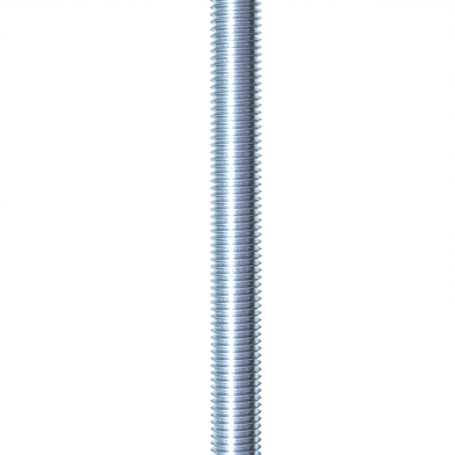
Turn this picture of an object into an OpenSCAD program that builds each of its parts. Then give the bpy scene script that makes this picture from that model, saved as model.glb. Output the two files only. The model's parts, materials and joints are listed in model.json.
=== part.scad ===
// Fully threaded rod: one steel bar with a rolled inch thread (3/4 inch, 10 turns to the
// inch) over its whole length, cut square and chamfered at both ends.
// The rod stands on one end face at z = 0 with its axis along +Z. Sizes are in millimetres.
//
// Every turn has the thread's true section, as a ring at its real pitch. The rings have
// no lead: the right-hand helix that joins them is left out of this solid.

/* [Rod] */
// Length from end face to end face
rod_length = 304.8; // [60:0.1:600]
// Nominal diameter over the thread's crests
nominal_d = 19.05; // [12:0.01:30]

/* [Thread] */
// Distance along the axis from one crest to the next
pitch = 2.54; // [1.5:0.01:3.5]
// Angle between the two flanks of a groove
flank_angle = 60; // [50:1:70]
// How far the crests lie under the nominal diameter, so that a nut runs freely
thread_allowance = 0.046; // [0:0.001:0.3]

/* [Ends] */
// Slope of the end chamfers, measured from the end face
chamfer_angle = 45; // [30:1:60]
// How far the chamfer starts inside the deepest point of the thread
end_relief = 0.4; // [0.1:0.1:1]

/* [Hidden] */

// The basic thread form: a sharp V of this height, with an eighth of the pitch
// left flat along each crest and an arc of a sixth of the height in each root.
sharp_height = pitch / 2 / tan(flank_angle / 2);
crest_flat = pitch / 8;
root_radius = sharp_height / 6;

crest_r = (nominal_d - thread_allowance) / 2;
groove_half_width = (pitch - crest_flat) / 2;
// Where the flanks of a groove would meet, and the centre of the arc that rounds them off
apex_r = crest_r - groove_half_width / tan(flank_angle / 2);
root_arc_r = apex_r + root_radius / sin(flank_angle / 2);
root_r = root_arc_r - root_radius;

// The arc touches both flanks, so it turns through what they leave of a half circle
root_arc_half = 90 - flank_angle / 2;
root_arc_steps = 4;

end_r = root_r - end_relief;
// The chamfer's cone is drawn past the crests by this much, so that it cuts them cleanly
cut_margin = 1;

// Points [radius, height] of one groove whose middle is at height z, from bottom to top
function groove(z) = [
    [crest_r, z - groove_half_width],
    for (i = [0 : root_arc_steps])
        let (a = root_arc_half * (2 * i / root_arc_steps - 1))
        [root_arc_r - root_radius * cos(a), z + root_radius * sin(a)],
    [crest_r, z + groove_half_width]
];

// Half section of an endless thread, running past both end faces
module thread_section() {
    grooves = ceil(rod_length / pitch);
    polygon([
        [0, -pitch],
        [crest_r, -pitch],
        for (i = [0 : grooves]) each groove(i * pitch),
        [crest_r, (grooves + 1) * pitch],
        [0, (grooves + 1) * pitch]
    ]);
}

// Half section of the room that the square ends and their chamfers leave
module end_section() {
    outer_r = crest_r + cut_margin;
    rise = (outer_r - end_r) * tan(chamfer_angle);
    polygon([
        [0, 0],
        [end_r, 0],
        [outer_r, rise],
        [outer_r, rod_length - rise],
        [end_r, rod_length],
        [0, rod_length]
    ]);
}

// The whole bar, turned from the section that both outlines share
module threaded_rod() {
    color([0.74, 0.78, 0.84])
        rotate_extrude($fn = 96)
            intersection() {
                thread_section();
                end_section();
            }
}

threaded_rod();
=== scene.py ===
# %% [markdown]
# # A zinc-plated threaded rod
#
# A threaded rod is a steel bar whose whole length is one long screw thread. The thread is not
# cut: the bar is squeezed between rolling dies, which press the grooves in and push the metal
# up into the crests. It is then cut to length, chamfered at both ends so that a nut starts
# easily, and plated with zinc. This lesson makes the rod in the same order: thread, cut, plate,
# and then the studio that it stands in.
#
# The first cell loads the measured model. It gives the length and the radius over the crests,
# so the form doesn't have to be fitted by eye.

# %% Load the measured model
import bpy
import bmesh
import json
import math
import numpy as np
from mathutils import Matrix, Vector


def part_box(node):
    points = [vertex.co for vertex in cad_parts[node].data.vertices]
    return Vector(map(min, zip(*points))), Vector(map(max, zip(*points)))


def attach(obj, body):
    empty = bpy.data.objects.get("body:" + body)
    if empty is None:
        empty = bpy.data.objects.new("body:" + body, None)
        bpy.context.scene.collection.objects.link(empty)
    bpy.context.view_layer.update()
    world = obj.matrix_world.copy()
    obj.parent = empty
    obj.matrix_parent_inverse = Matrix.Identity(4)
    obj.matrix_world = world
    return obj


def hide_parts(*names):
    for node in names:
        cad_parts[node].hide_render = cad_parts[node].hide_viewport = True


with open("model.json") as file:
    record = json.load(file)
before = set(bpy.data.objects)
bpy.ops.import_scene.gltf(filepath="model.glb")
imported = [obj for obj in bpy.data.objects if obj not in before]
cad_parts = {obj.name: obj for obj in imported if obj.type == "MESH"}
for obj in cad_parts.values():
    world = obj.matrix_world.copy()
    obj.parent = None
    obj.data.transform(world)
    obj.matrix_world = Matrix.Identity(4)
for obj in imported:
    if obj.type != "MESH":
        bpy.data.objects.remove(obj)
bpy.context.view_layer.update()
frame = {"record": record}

# %% [markdown]
# ## The sizes that drive it
#
# Four numbers settle a screw thread: how long it is, how wide it is over the crests, how far it
# climbs in one turn, and the angle between its flanks. The first two are read from the measured
# model, so a change there arrives here too. The pitch and the angle belong to the thread's
# standard form, with ten turns to the inch and 60 degrees between the flanks.

# %% Driving sizes, in metres
MM = 0.001
MOUNTS = {mount["name"]: mount for mount in frame["record"]["mounts"]}
ROD_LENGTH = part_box("threaded_rod")[1][2]
CREST_RADIUS = MOUNTS["thread"]["dims"]["r_mm"] * MM
PITCH = 2.54 * MM
FLANK_ANGLE = math.radians(60)
print(f"rod {ROD_LENGTH / MM:.1f} mm long, {CREST_RADIUS / MM:.3f} mm to the crests")

# %% [markdown]
# ## The thread's form
#
# Cut the rod along its axis and every turn shows the same outline: a flat crest, two straight
# flanks with 60 degrees between them, and an arc in the root. A rolling die can't leave a sharp
# corner, so the edges of the crest are rounded too. Each piece of the outline meets the next
# along a tangent, so its slope never jumps, and one formula gives it anywhere across the groove.

# %% The outline of one turn
# Height of the V that the flanks would make if they ran on to sharp corners
SHARP_HEIGHT = PITCH / 2 / math.tan(FLANK_ANGLE / 2)
CREST_FLAT = PITCH / 8
ROOT_ROUNDING = SHARP_HEIGHT / 6
CREST_ROUNDING = 0.20 * MM
GROOVE_HALF = (PITCH - CREST_FLAT) / 2
FLANK_SLOPE = 1 / math.tan(FLANK_ANGLE / 2)
# How far the outline turns between the flat of the crest and a flank
TURN = math.pi / 2 - FLANK_ANGLE / 2

apex_radius = CREST_RADIUS - GROOVE_HALF * FLANK_SLOPE
ROOT_CENTRE = apex_radius + ROOT_ROUNDING / math.sin(FLANK_ANGLE / 2)
CREST_START = GROOVE_HALF + CREST_ROUNDING * math.tan(TURN / 2)
ROOT_RADIUS = ROOT_CENTRE - ROOT_ROUNDING


def outline_slope(across):
    """How fast the radius grows with distance across the groove.
    Root arc: tangent of the arc's angle. Flank: constant. Crest edge: tangent of its arc's
    angle, falling to 0 at the flat of the crest. The sign follows the side of the groove."""
    away = np.abs(across)
    root_angle = np.arcsin(np.clip(away / ROOT_ROUNDING, 0, math.sin(TURN)))
    crest_angle = np.arcsin(np.clip((CREST_START - away) / CREST_ROUNDING, 0, math.sin(TURN)))
    return np.sign(across) * np.tan(np.minimum(root_angle, crest_angle))


def outline_points(root_steps=4, edge_steps=2):
    """(distance across the groove, radius) of one turn's outline, from crest to crest.
    Root: points on an arc about ROOT_CENTRE. Crest edge: points on an arc whose centre lies
    CREST_ROUNDING under the crest. The flanks are the straight lines in between."""
    root = np.linspace(0, TURN, root_steps // 2 + 1)
    edge = np.linspace(TURN, 0, edge_steps + 1)
    across = np.r_[ROOT_ROUNDING * np.sin(root), CREST_START - CREST_ROUNDING * np.sin(edge)]
    radius = np.r_[
        ROOT_CENTRE - ROOT_ROUNDING * np.cos(root),
        CREST_RADIUS - CREST_ROUNDING * (1 - np.cos(edge)),
    ]
    return np.r_[-across[:0:-1], across], np.r_[radius[:0:-1], radius]


across, radius = outline_points()
print(f"{len(across)} points a turn, root at {ROOT_RADIUS / MM:.3f} mm")

# %% [markdown]
# ## An endless thread
#
# A helix is a straight line wrapped round a cylinder: for each full turn it climbs by one
# pitch. Carry the outline along it and the result is the thread. On a grid this is simple,
# because a column of the grid is the outline repeated up the rod, and each next column is the
# same one turned a little and lifted a little. The thread runs past both ends of the rod, so
# that there is something to cut off.

# %% Carry the outline along the helix
COLUMNS = 72
EXTRA_TURNS = 2


def thread_grid(columns, turns):
    """Points on the grid (column, row). Angle: the column's share of a turn. Height: the
    turn's number, plus the column's share of a pitch, plus the distance across the groove."""
    share = np.arange(columns)[:, None] / columns
    rows = np.arange(-EXTRA_TURNS, turns + EXTRA_TURNS)
    height = PITCH * (rows[:, None] + 0.5) + across[None, :]
    height = height.ravel()[None, :] + PITCH * share
    around = np.broadcast_to(np.tile(radius, len(rows))[None, :], height.shape)
    angle = np.broadcast_to(2 * math.pi * share, height.shape)
    return np.stack([around * np.cos(angle), around * np.sin(angle), height], axis=-1)


grid = thread_grid(COLUMNS, round(ROD_LENGTH / PITCH))
print("grid of", grid.shape[0], "columns and", grid.shape[1], "rows")

# %% [markdown]
# ## From points to a solid
#
# After one full turn a column has climbed a whole pitch, so the last column joins the first one a
# turn higher up. Each end is closed with a fan of triangles round a point on the axis. That makes
# the thread a solid, and a solid can be cut like the real bar.

# %% Join the points into an endless thread
def thread_faces(columns, rows, points_a_turn):
    """Quads between neighbours of the grid, with the last column joined to the first one a
    turn higher, and a fan from a point on the axis to the open edge at each end."""
    index = np.arange(columns * rows).reshape(columns, rows)
    inner = [index[:-1, :-1], index[1:, :-1], index[1:, 1:], index[:-1, 1:]]
    step = points_a_turn
    seam = [index[-1, :-step - 1], index[0, step:-1], index[0, step + 1:], index[-1, 1:-step]]
    low_edge = np.r_[index[:, 0], index[0, step::-1][:-1]]
    high_edge = np.r_[index[:, -1][::-1], index[-1, -step - 1:][:-1]]
    quads = np.concatenate([np.stack(q, axis=-1).reshape(-1, 4) for q in (inner, seam)])
    low_tip, high_tip = columns * rows, columns * rows + 1
    fans = []
    for edge, tip in ((low_edge, low_tip), (high_edge, high_tip)):
        fans.append(np.stack([np.roll(edge, -1), edge, np.full_like(edge, tip)], axis=-1))
    return quads, np.concatenate(fans)


def mesh_from(name, points, *face_sets):
    """A mesh from arrays of points and of faces."""
    mesh = bpy.data.meshes.new(name)
    faces = [face for faces in face_sets for face in faces.tolist()]
    mesh.from_pydata(points.reshape(-1, 3).tolist(), [], faces)
    mesh.update()
    return mesh


tips = np.array([[0, 0, grid[..., 2].min() + PITCH / 2], [0, 0, grid[..., 2].max() - PITCH / 2]])
quads, fans = thread_faces(COLUMNS, grid.shape[1], len(across))
endless = mesh_from("endless_thread", np.r_[grid.reshape(-1, 3), tips], quads, fans)
print(len(endless.vertices), "points,", len(endless.polygons), "faces")

# %% [markdown]
# ## The envelope of the ends
#
# The real bar is cut square and its ends are turned to a 45 degree chamfer that reaches in past
# the root, so that the thread fades out on a cone and a nut finds its start. The same cone is
# made here as a turned form: an outline of four points, carried round the axis.

# %% Turn the envelope
# How far the end face stays inside the root
END_RELIEF = 0.4 * MM
END_RADIUS = ROOT_RADIUS - END_RELIEF
CUT_MARGIN = 1 * MM
# Only two of these columns meet the thread's 72, because columns that coincide cut badly
CONE_COLUMNS = 146


def turned(name, outline, columns):
    """A closed form of revolution. Each outline point (radius, height) becomes a ring of
    points at equal angles, and the first and the last ring are closed with one flat face."""
    angle = 2 * math.pi * np.arange(columns) / columns
    ring_radius, ring_height = np.array(outline).T[:, :, None]
    x, y = ring_radius * np.cos(angle), ring_radius * np.sin(angle)
    points = np.stack([x, y, np.broadcast_to(ring_height, x.shape)], axis=-1)
    index = np.arange(points.shape[0] * columns).reshape(-1, columns)
    ahead = np.roll(index, -1, axis=1)
    sides = np.stack([index[:-1], ahead[:-1], ahead[1:], index[1:]], axis=-1).reshape(-1, 4)
    return mesh_from(name, points, sides, index[:1, ::-1], index[-1:])


wide = CREST_RADIUS + CUT_MARGIN
# A cone of 45 degrees is as high as it is wide
cone_height = wide - END_RADIUS
envelope = turned(
    "end_envelope",
    [(END_RADIUS, 0), (wide, cone_height), (wide, ROD_LENGTH - cone_height), (END_RADIUS, ROD_LENGTH)],
    CONE_COLUMNS,
)
print(f"end faces {END_RADIUS / MM:.3f} mm in radius,", len(envelope.polygons), "faces")

# %% [markdown]
# ## Cut to length and chamfered
#
# One Boolean keeps what the endless thread and the envelope share. The cut edges come out exactly
# where the cone meets the helix, which no grid could follow. Points that the cut leaves almost on
# top of each other are then welded into one.

# %% Cut the thread with the envelope
# Points nearer than this are one point
SAME_POINT = 0.002 * MM


def shared_part(name, mesh, cutter):
    """The part of space that lies inside both closed meshes, as a new mesh."""
    body = bpy.data.objects.new("uncut", mesh)
    tool = bpy.data.objects.new("cutter", cutter)
    for thing in (body, tool):
        bpy.context.scene.collection.objects.link(thing)
    cut = body.modifiers.new("cut", "BOOLEAN")
    cut.operation, cut.solver, cut.object = "INTERSECT", "MANIFOLD", tool
    evaluated = body.evaluated_get(bpy.context.evaluated_depsgraph_get())
    result = bpy.data.meshes.new_from_object(evaluated)
    result.name = name
    # The Boolean leaves an empty material slot, which would keep the finish off every face
    result.materials.clear()
    for thing in (body, tool):
        bpy.data.objects.remove(thing)
    weld = bmesh.new()
    weld.from_mesh(result)
    bmesh.ops.remove_doubles(weld, verts=weld.verts, dist=SAME_POINT)
    weld.to_mesh(result)
    weld.free()
    return result


rod_mesh = shared_part("threaded_rod_surface", endless, envelope)
corner_counts = np.array([len(face.vertices) for face in rod_mesh.polygons])
print(len(corner_counts), "faces,", int((corner_counts - 2).sum()), "triangles")

# %% [markdown]
# ## Unrolling the thread
#
# Normals and patterns both need to know where a point lies on the thread: how many turns along
# the helix, and how far across the groove. A point's angle and height give both. Each corner of
# each face is unrolled by itself, because a corner can carry a normal and a map of its own.

# %% Unroll each corner
def corner_arrays(mesh):
    """Position of each face corner, and the face that it belongs to."""
    points = np.empty(3 * len(mesh.vertices))
    mesh.vertices.foreach_get("co", points)
    which = np.empty(len(mesh.loops), dtype=int)
    mesh.loops.foreach_get("vertex_index", which)
    sizes = np.empty(len(mesh.polygons), dtype=int)
    mesh.polygons.foreach_get("loop_total", sizes)
    return points.reshape(-1, 3)[which], np.repeat(np.arange(len(sizes)), sizes)


def face_arrays(mesh, field):
    """One vector for each face, such as its normal or its centre."""
    values = np.empty(3 * len(mesh.polygons))
    mesh.polygons.foreach_get(field, values)
    return values.reshape(-1, 3)


def unrolled(points, near=None):
    """(share of a turn, whole turns, distance across the groove). The height is measured from
    the root that passes this angle, and whole pitches are counted off as turns. With near, the
    turns are those of the given ones, so that a face isn't split between two turns."""
    share = np.arctan2(points[:, 1], points[:, 0]) / (2 * math.pi)
    if near is not None:
        near_share, near_turn = near
        share = share + np.round(near_share - share)
        turn = near_turn
    else:
        turn = np.round(points[:, 2] / PITCH - share - 0.5)
    across = points[:, 2] - PITCH * (share + turn + 0.5)
    return share, turn, across


corners, face_of = corner_arrays(rod_mesh)
face_centre = face_arrays(rod_mesh, "center")
face_normal = face_arrays(rod_mesh, "normal")
share, turn, _ = unrolled(face_centre)
share, turn, across_groove = unrolled(corners, (share[face_of], turn[face_of]))
print(len(corners), "corners on", int(turn.max() - turn.min() + 1), "turns")

# %% [markdown]
# ## True normals
#
# Plating shines, so every reflection shows which way the surface leans. Blender can guess a
# smooth normal from the faces round a point, but on a thread that guess bends the flat flanks
# near their edges. The formula of the outline gives the exact normal, so it is worked out for
# each corner instead. Where the chamfer cuts the thread, each side of the edge keeps its own.

# %% Set a true normal at each corner
CHAMFER_ANGLE = math.radians(45)
# A face lies on the chamfer if its centre is this near the cone and it leans like the cone
CONE_GAP = 0.01 * MM
CONE_LEAN = 0.01
# Upward share of a normal above which a face is an end face
FLAT_LEAN = 0.999


def thread_normals(points, across):
    """Outward direction of the helical surface: radially out, less the outline's slope along
    the axis, plus that slope times the lead of the helix round the rod."""
    distance = np.hypot(points[:, 0], points[:, 1])
    radial = points[:, :2] / distance[:, None]
    slope = outline_slope(across)
    lead = slope * PITCH / (2 * math.pi * distance)
    normal = np.stack(
        [radial[:, 0] - lead * radial[:, 1], radial[:, 1] + lead * radial[:, 0], -slope], axis=-1
    )
    return normal / np.linalg.norm(normal, axis=1)[:, None]


normals = thread_normals(corners, across_groove)
on_end = (np.abs(face_normal[:, 2]) > FLAT_LEAN)[face_of]
normals[on_end] = face_normal[face_of][on_end]

from_end = np.minimum(face_centre[:, 2], ROD_LENGTH - face_centre[:, 2])
gap = np.abs(np.hypot(face_centre[:, 0], face_centre[:, 1]) - (END_RADIUS + from_end))
lean = np.abs(np.abs(face_normal[:, 2]) - math.sin(CHAMFER_ANGLE))
on_cone = ((gap < CONE_GAP) & (lean < CONE_LEAN) & (from_end > 0))[face_of] & ~on_end
outward = corners[on_cone, :2] / np.hypot(corners[on_cone, 0], corners[on_cone, 1])[:, None]
normals[on_cone, :2] = outward * math.cos(CHAMFER_ANGLE)
normals[on_cone, 2] = np.sign(corners[on_cone, 2] - ROD_LENGTH / 2) * math.sin(CHAMFER_ANGLE)

rod_mesh.shade_smooth()
rod_mesh.normals_split_custom_set(normals.tolist())
print(int(on_cone.sum()), "corners on the chamfers,", int(on_end.sum()), "on the end faces")

# %% [markdown]
# ## A map along the thread
#
# Unrolling also gives a map: one direction runs along the helix, the other across the groove.
# Rolling marks and plating follow the thread, so their patterns are laid on this map. It is in
# millimetres, which lets a pattern be given in the real size of its marks. The chamfers and end
# faces are noted down here too, because they get a finish of their own.

# %% Lay the map
around = 2 * math.pi * CREST_RADIUS
map_points = np.stack([(share + turn) * around, across_groove], axis=-1) / MM
rod_mesh.uv_layers.new(name="along_thread").data.foreach_set("uv", map_points.ravel())
turned_faces = np.zeros(len(face_centre), dtype=bool)
turned_faces[face_of[on_cone | on_end]] = True
print(f"the thread is {np.ptp(map_points[:, 0]) / 1000:.1f} m long when unrolled")

# %% [markdown]
# ## The rod as a piece
#
# The finished mesh becomes one object at the origin. It rides on the rod's body and stands in
# for the measured solid, which has rings in place of the helix.

# %% Make the piece
rod = bpy.data.objects.new("rolled_thread_rod", rod_mesh)
bpy.context.scene.collection.objects.link(rod)
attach(rod, "root")
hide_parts("threaded_rod")
print(rod.name, "stands for the measured solid")

# %% [markdown]
# ## The zinc plating
#
# Zinc plate is a thin metal skin that takes the shape of the steel under it. It is bright and a
# little blue. The rinse water dries last in the roots, where it leaves small dark spots, and the
# rolling dies leave fine lines along the thread. The flanks that face up get a painted shade: a
# dull grey film that stands in for the shade just above each crest.
#
# A material is a small tree of nodes, and building it takes the same few moves again and again.
# The first helpers give a socket its value, add a node and start a material whose shader is a
# plain metal. A metal has no colour of its own under its gloss, so its colour tints what it
# mirrors.

# %% Start the plating
def feed(tree, socket, value):
    """Give a socket a number or a colour, or link it from another socket."""
    if isinstance(value, bpy.types.NodeSocket):
        tree.links.new(value, socket)
    else:
        socket.default_value = value


def add_node(tree, kind, **inputs):
    """A new node of a kind. An input goes by its name, or by its number as _0, _1 and so on."""
    node = tree.nodes.new(kind)
    for name, value in inputs.items():
        feed(tree, node.inputs[int(name[1:]) if name[1:].isdigit() else name], value)
    return node


def new_metal(name):
    """A material with an empty metal shader, and its node tree and shader."""
    material = bpy.data.materials.new(name)
    material.use_nodes = True
    shader = material.node_tree.nodes["Principled BSDF"]
    shader.inputs["Metallic"].default_value = 1.0
    return material, material.node_tree, shader


plating, tree, shader = new_metal("bright_zinc_plate")
print(plating.name, "starts with", len(tree.nodes), "nodes")

# %% [markdown]
# ## Steps, marks and mixes
#
# A picture could be laid on for the marks in the plate, but it would blur close up and repeat.
# Noise on the unrolled map stays sharp, and it follows the helix because the map does. Each
# pattern is one noise, stretched by dividing the map by the size of its marks. A smooth step
# then makes the noise into a mark with a soft edge, and a mix lays its colour over the plate.

# %% Helpers for patterns
def calculate(tree, operation, *values):
    """A Math node's result."""
    node = add_node(tree, "ShaderNodeMath", **{f"_{i}": value for i, value in enumerate(values)})
    node.operation = operation
    return node.outputs[0]


def ranged(tree, value, low, high, new_low, new_high):
    """Value carried from one range to another along a smooth S-shaped step."""
    node = add_node(tree, "ShaderNodeMapRange", _0=value, _1=low, _2=high, _3=new_low, _4=new_high)
    node.interpolation_type = "SMOOTHSTEP"
    return node.outputs[0]


def marks(tree, place, size, detail):
    """Noise from 0 to 1 whose marks have the given size along each direction of the map."""
    scale = [1 / step for step in size]
    spread = add_node(tree, "ShaderNodeMapping", Vector=place, Scale=scale)
    noise = add_node(
        tree, "ShaderNodeTexNoise", Vector=spread.outputs[0], Scale=1.0, Detail=detail
    )
    return noise.outputs[0]


def blended(tree, amount, first, second):
    """A colour between two colours."""
    node = add_node(tree, "ShaderNodeMix")
    node.data_type = "RGBA"
    # A Mix node keeps its sockets for colours at 6 and 7
    for number, value in ((0, amount), (6, first), (7, second)):
        feed(tree, node.inputs[number], value)
    return node.outputs[2]


place = add_node(tree, "ShaderNodeUVMap")
place.uv_map = "along_thread"
across_map = add_node(tree, "ShaderNodeSeparateXYZ", Vector=place.outputs[0]).outputs[1]
from_root = calculate(tree, "ABSOLUTE", across_map)
print("the plating reads", place.uv_map)

# %% [markdown]
# ## Painted shade, spots and lines on the thread
#
# The map's second number is the distance across the groove: 0 in the middle of the root,
# negative on the flank that faces up and positive on the one that faces down. A smooth step on
# it gives each mark its place, so the spots stay in the root, the painted shade lies on the flank
# that faces up, and the crest has neither.

# %% Where the marks lie
# Sizes of the marks along and across the thread, in millimetres like the map
ROLLING_LINES = (14, 0.11, 1)
STAIN_SPOTS = (0.6, 0.35, 1)
BATH_CLOUDS = (22, 0.9, 1)
# Distances across the groove between which a mark comes or goes
ROOT_EDGE = (0.2, 0.8)
# Where the painted shade on the flank that faces up begins and ends
PAINTED_SHADE_EDGE = (-0.95, 0.1)
CREST_EDGE = (1.04, 1.16)
# Noise between which a mark grows, and how strong it gets
SPOT_NOISE = (0.52, 0.62)
SPOT_STRENGTH = 0.75
# Painted shade on the flank that faces up: the noise that makes it patchy, and how dark it gets
PAINTED_SHADE_NOISE = (0.3, 0.7)
PAINTED_SHADE_STRENGTH = (0.40, 0.70)

in_root = ranged(tree, from_root, *ROOT_EDGE, 1.0, 0.0)
painted_shade_mask = ranged(tree, across_map, *PAINTED_SHADE_EDGE, 1.0, 0.0)
off_crest = ranged(tree, from_root, *CREST_EDGE, 1.0, 0.0)

lines = marks(tree, place.outputs[0], ROLLING_LINES, 3)
spots = marks(tree, place.outputs[0], STAIN_SPOTS, 3)
clouds = marks(tree, place.outputs[0], BATH_CLOUDS, 2)
spotted = ranged(tree, spots, *SPOT_NOISE, 0.0, SPOT_STRENGTH)
stained = calculate(tree, "MULTIPLY", spotted, in_root)
# Painted shade: a darker grey on the outer part of the flank that faces up, patchy by the clouds
patchy_painted_shade = calculate(tree, "MULTIPLY", ranged(tree, clouds, *PAINTED_SHADE_NOISE, *PAINTED_SHADE_STRENGTH), painted_shade_mask)
painted_flank_shade = calculate(tree, "MULTIPLY", patchy_painted_shade, off_crest)
print("marks placed with", len(tree.nodes), "nodes")

# %% [markdown]
# ## Colour, roughness and bump together
#
# A mark changes all three: a line or a spot is greyer, scatters the light more and stands a
# little proud of the plate, and the painted shade on the flanks that face up is laid on the same
# way. So lines, painted shade and spots drive the colour, then the roughness, then the height of
# the bump, and each one only adds its own part to what the plate already has.

# %% Plating on the thread
BRIGHT_ZINC = (0.90, 0.92, 0.93, 1)
COOL_ZINC = (0.82, 0.89, 0.94, 1)
# Grey of the rolling lines and the lathe rings, and also of the painted shade on the flanks that face
# up
DULL_MARK_AND_PAINTED_SHADE = (0.48, 0.56, 0.65, 1)
STAIN = (0.28, 0.32, 0.38, 1)
TINT_NOISE = (0.35, 0.65)
LINE_NOISE = (0.45, 0.75)
LINE_STRENGTH = 0.35
SHINE_NOISE = (0.3, 0.7)
THREAD_ROUGHNESS = (0.06, 0.12)
# Extra roughness where the painted shade lies
PAINTED_SHADE_ROUGHNESS = 0.10
STAIN_ROUGHNESS = 0.20
BUMP_HEIGHT = 0.004 * MM
# Height of the painted shade and the spots as a share of a line's
MARK_HEIGHT = 0.5

zinc = blended(tree, ranged(tree, clouds, *TINT_NOISE, 0.0, 1.0), BRIGHT_ZINC, COOL_ZINC)
lined = blended(tree, ranged(tree, lines, *LINE_NOISE, 0.0, LINE_STRENGTH), zinc, DULL_MARK_AND_PAINTED_SHADE)
# Painted shade: the flanks that face up turn darker grey here
with_painted_shade = blended(tree, painted_flank_shade, lined, DULL_MARK_AND_PAINTED_SHADE)
colour = blended(tree, stained, with_painted_shade, STAIN)
feed(tree, shader.inputs["Base Color"], colour)

roughness = ranged(tree, lines, *SHINE_NOISE, *THREAD_ROUGHNESS)
roughness = calculate(tree, "MULTIPLY_ADD", painted_flank_shade, PAINTED_SHADE_ROUGHNESS, roughness)
roughness = calculate(tree, "MULTIPLY_ADD", stained, STAIN_ROUGHNESS, roughness)
feed(tree, shader.inputs["Roughness"], roughness)

height = calculate(tree, "MULTIPLY_ADD", painted_flank_shade, MARK_HEIGHT, lines)
height = calculate(tree, "MULTIPLY_ADD", stained, MARK_HEIGHT, height)
bump = add_node(tree, "ShaderNodeBump", Height=height, Distance=BUMP_HEIGHT, Strength=1.0)
feed(tree, shader.inputs["Normal"], bump.outputs[0])
rod_mesh.materials.append(plating)
print(plating.name, "has", len(tree.nodes), "nodes")

# %% [markdown]
# ## The turned ends
#
# The chamfers and the flat ends are cut on a lathe before the plating. A lathe tool leaves fine
# rings round the axis, and plating doesn't fill them. Rings are a pattern of the radius alone,
# so noise is read along one line at each point's distance from the axis.

# %% Plating on the turned ends
TURNING_RINGS = (0.09 * MM, 1, 1)
END_CLOUDS = (3 * MM, 3 * MM, 3 * MM)
RING_NOISE = (0.4, 0.8)
RING_STRENGTH = 0.4
RING_ROUGHNESS = (0.16, 0.28)

turned_zinc, tree, shader = new_metal("turned_zinc_plate")
where = add_node(tree, "ShaderNodeTexCoord").outputs["Object"]
flat = add_node(tree, "ShaderNodeVectorMath", _0=where, _1=(1, 1, 0))
flat.operation = "MULTIPLY"
from_axis = add_node(tree, "ShaderNodeVectorMath", _0=flat.outputs[0])
from_axis.operation = "LENGTH"
on_line = add_node(tree, "ShaderNodeCombineXYZ", X=from_axis.outputs["Value"])

rings = marks(tree, on_line.outputs[0], TURNING_RINGS, 2)
clouds = marks(tree, where, END_CLOUDS, 3)
zinc = blended(tree, ranged(tree, clouds, *TINT_NOISE, 0.0, 1.0), BRIGHT_ZINC, COOL_ZINC)
colour = blended(tree, ranged(tree, rings, *RING_NOISE, 0.0, RING_STRENGTH), zinc, DULL_MARK_AND_PAINTED_SHADE)
feed(tree, shader.inputs["Base Color"], colour)
feed(tree, shader.inputs["Roughness"], ranged(tree, rings, *SHINE_NOISE, *RING_ROUGHNESS))
bump = add_node(tree, "ShaderNodeBump", Height=rings, Distance=BUMP_HEIGHT, Strength=1.0)
feed(tree, shader.inputs["Normal"], bump.outputs[0])

rod_mesh.materials.append(turned_zinc)
rod_mesh.polygons.foreach_set("material_index", turned_faces.astype(np.int32))
rod_mesh.update()
print(int(turned_faces.sum()), "faces wear", turned_zinc.name)

# %% [markdown]
# ## The camera
#
# A long lens a little over half a metre away looks slightly down. The upper part of the rod is
# then seen level, so its grooves show as plain V shapes, and the lower part is seen from above,
# so its crests show as curved lines. Both ends lie outside the view.

# %% Place the camera
LENS = 138
CAMERA_PLACE = (-0.00297, -0.6173, 0.2045)
TILT_DOWN = math.radians(4.6)

camera_data = bpy.data.cameras.new("camera")
camera_data.lens = LENS
camera = bpy.data.objects.new("camera", camera_data)
bpy.context.scene.collection.objects.link(camera)
camera.location = CAMERA_PLACE
camera.rotation_euler = (math.pi / 2 - TILT_DOWN, 0, 0)
bpy.context.scene.camera = camera
print("camera", LENS, "mm lens,", round(-CAMERA_PLACE[1], 3), "m in front of the rod")

# %% [markdown]
# ## The light table
#
# Small hardware is often shown on a sheet of white acrylic with light under it, because the
# sheet then turns pure white and the metal stands out. The floor here is such a sheet: pale and
# matt, with a glow of its own. The metal doesn't mirror the sheet itself, because its share of
# the light is part of the studio below, underfoot and at the foot of the walls.

# %% Lay the floor
TABLE_HALF = 1.0
TABLE_GLOW = 0.9
ACRYLIC_WHITE = (0.9, 0.9, 0.9, 1)
ACRYLIC_ROUGHNESS = 0.9

table_points = TABLE_HALF * np.array([[-1, -1, 0], [1, -1, 0], [1, 1, 0], [-1, 1, 0]])
floor = bpy.data.objects.new("floor", mesh_from("floor", table_points, np.array([[0, 1, 2, 3]])))
bpy.context.scene.collection.objects.link(floor)
floor.visible_glossy = False

acrylic = bpy.data.materials.new("white_acrylic")
acrylic.use_nodes = True
shader = acrylic.node_tree.nodes["Principled BSDF"]
shader.inputs["Base Color"].default_value = ACRYLIC_WHITE
shader.inputs["Roughness"].default_value = ACRYLIC_ROUGHNESS
shader.inputs["Emission Color"].default_value = (1, 1, 1, 1)
shader.inputs["Emission Strength"].default_value = TABLE_GLOW
floor.data.materials.append(acrylic)
print("floor", 2 * TABLE_HALF, "m wide")

# %% [markdown]
# ## The studio
#
# Bright metal has hardly any look of its own: it shows what stands round it. A thread makes that
# stricter. Most light that enters a 60 degree groove bounces three times and leaves as if the rod
# were a plain upright mirror, so what stands at each compass angle counts for much more than what
# stands high or low.
#
# So the studio is a walk round the rod, with a few colours named for what stands there. A tall
# soft light in a wider diffuser, to the left of the camera, draws the white stripe and its soft
# edges. A blue-green wall on the left and a violet-grey one on the right tint the two halves, and
# a black flag at the far right draws the dark edge. A white backdrop behind the rod lights the
# tips of the thread from both sides. Lamps would need many pieces for this, and one soft world
# does it without noise.

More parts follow.
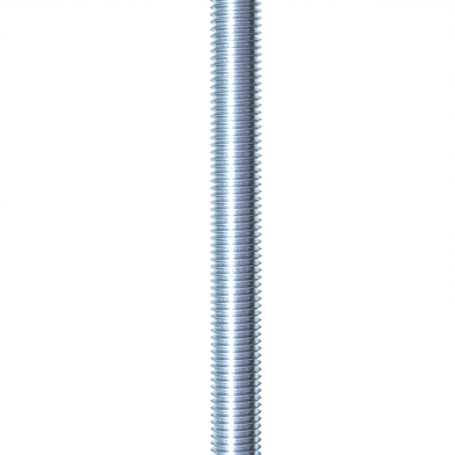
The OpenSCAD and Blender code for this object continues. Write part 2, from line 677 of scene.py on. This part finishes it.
# %% The walls, in order round the rod
# The fourth number is the share of the table's glow that reaches the wall's foot
BACKDROP = (1.00, 1.08, 1.14, 0)
LEFT_WALL = (0.28, 0.36, 0.43, 1)
SOFT_LIGHT = (2.00, 1.95, 1.90, 0)
DIFFUSER = (0.84, 0.92, 1.05, 0.5)
NEAR_WALL = (0.34, 0.40, 0.51, 1)
RIGHT_WALL = (0.18, 0.20, 0.26, 1)
FLAG = (0.045, 0.05, 0.06, 1)
# Where each colour begins and ends, in degrees from the camera, with its left side negative
STUDIO_WALLS = [
    (-180, BACKDROP),
    (-134, BACKDROP),
    (-120, LEFT_WALL),
    (-74, LEFT_WALL),
    (-44, DIFFUSER),
    (-36, SOFT_LIGHT),
    (-20, SOFT_LIGHT),
    (-10, DIFFUSER),
    (6, NEAR_WALL),
    (40, RIGHT_WALL),
    (68, RIGHT_WALL),
    (84, FLAG),
    (111, FLAG),
    (129, BACKDROP),
    (180, BACKDROP),
]


def scaled(tree, colour, factor):
    """A colour times a number."""
    node = add_node(tree, "ShaderNodeVectorMath", _0=colour)
    node.operation = "SCALE"
    feed(tree, node.inputs["Scale"], factor)
    return node.outputs[0]


def wall_ring(tree, turn, walls):
    """(colour, share of the table's glow) of what stands at a share of a turn. A ramp holds
    colours up to 1, so the walls are stored as shares of the brightest one and scaled back."""
    ramp_node = add_node(tree, "ShaderNodeValToRGB", Fac=turn)
    stops = ramp_node.color_ramp.elements
    brightest = max(max(colour[:3]) for _, colour in walls)
    for _ in walls[2:]:
        stops.new(0.5)
    for stop, (degrees, colour) in zip(stops, walls):
        stop.position = degrees / 360 + 0.5
        stop.color = (*[part / brightest for part in colour[:3]], colour[3])
    return scaled(tree, ramp_node.outputs[0], brightest), ramp_node.outputs[1]


print(len(STUDIO_WALLS), "stops round the studio")

# %% [markdown]
# ## Light from above and below
#
# Height comes second. The backdrop is a low band with a dim room above and below it, which keeps
# the tips' rims dark. The lit table shines on the foot of the walls, so the rod is brighter
# towards its lower end. Underfoot the table is bright, because the outer part of each flank that
# faces up shows it after two bounces, and a softer lamp overhead lights the end face. The camera
# itself sees plain white behind the rod.

# %% Light the studio
DIM_ROOM = (0.15, 0.23, 0.30, 1)
OVERHEAD_LAMP = (0.62, 0.68, 0.73, 1)
TABLE_UNDERFOOT = (2.0, 2.0, 2.0, 1)
PLAIN_WHITE = (1, 1, 1, 1)
# The backdrop starts beside the rod and is whole behind it, and it fades over these heights
BACKDROP_SIDES = (math.radians(80), math.radians(140))
BACKDROP_HEIGHTS = (math.radians(4), math.radians(28))
# The lamp overhead and the table underfoot begin at this steepness
STEEP_ANGLES = (math.radians(54), math.radians(74))
# The lit table shines on the foot of the walls, between these heights
GLOW_TOP = (math.radians(-3.5), math.radians(1.5))
GLOW_FOOT = (math.radians(-32), math.radians(-18))
WALL_GLOW = 1.5
# Below the first of these heights, in radians, a direction looks down, and above the second up
NEARLY_LEVEL = (-0.1, 0.1)


def studio_world(name, walls):
    """A world whose colour comes from the compass angle first and from the height second.
    Compass angle: the arc tangent of x over minus y. Height: the arc sine of z. A wall is its
    ramp colour, times 1 plus the table's glow. Away from level the part behind the rod fades to
    the dim room, and steep directions fade to the lamp overhead and the table underfoot."""
    world = bpy.data.worlds.new(name)
    world.use_nodes = True
    tree = world.node_tree
    tree.nodes.clear()
    towards = add_node(tree, "ShaderNodeTexCoord").outputs["Generated"]
    east, north, up = add_node(tree, "ShaderNodeSeparateXYZ", Vector=towards).outputs
    compass = calculate(tree, "ARCTAN2", east, calculate(tree, "MULTIPLY", north, -1.0))
    turn = calculate(tree, "MULTIPLY_ADD", compass, 1 / (2 * math.pi), 0.5)
    rise = calculate(tree, "ARCSINE", up)
    height = calculate(tree, "ABSOLUTE", rise)

    ring, glow_share = wall_ring(tree, turn, walls)
    under = ranged(tree, rise, *GLOW_TOP, WALL_GLOW, 0.0)
    glow = calculate(tree, "MULTIPLY", under, ranged(tree, rise, *GLOW_FOOT, 0.0, 1.0))
    lit = scaled(tree, ring, calculate(tree, "MULTIPLY_ADD", glow, glow_share, 1.0))

    behind = ranged(tree, calculate(tree, "ABSOLUTE", compass), *BACKDROP_SIDES, 0.0, 1.0)
    off_level = ranged(tree, height, *BACKDROP_HEIGHTS, 0.0, 1.0)
    around = blended(tree, calculate(tree, "MULTIPLY", behind, off_level), lit, DIM_ROOM)

    steep = ranged(tree, height, *STEEP_ANGLES, 0.0, 1.0)
    upward = ranged(tree, rise, *NEARLY_LEVEL, 0.0, 1.0)
    around = blended(tree, steep, around, blended(tree, upward, TABLE_UNDERFOOT, OVERHEAD_LAMP))

    seen = add_node(tree, "ShaderNodeLightPath").outputs["Is Camera Ray"]
    shown = blended(tree, seen, around, PLAIN_WHITE)
    background = add_node(tree, "ShaderNodeBackground", Color=shown)
    add_node(tree, "ShaderNodeOutputWorld", Surface=background.outputs[0])
    return world


scene = bpy.context.scene
scene.world = studio_world("studio", STUDIO_WALLS)
scene.view_settings.view_transform = "Standard"
print(scene.world.name, "has", len(scene.world.node_tree.nodes), "nodes")
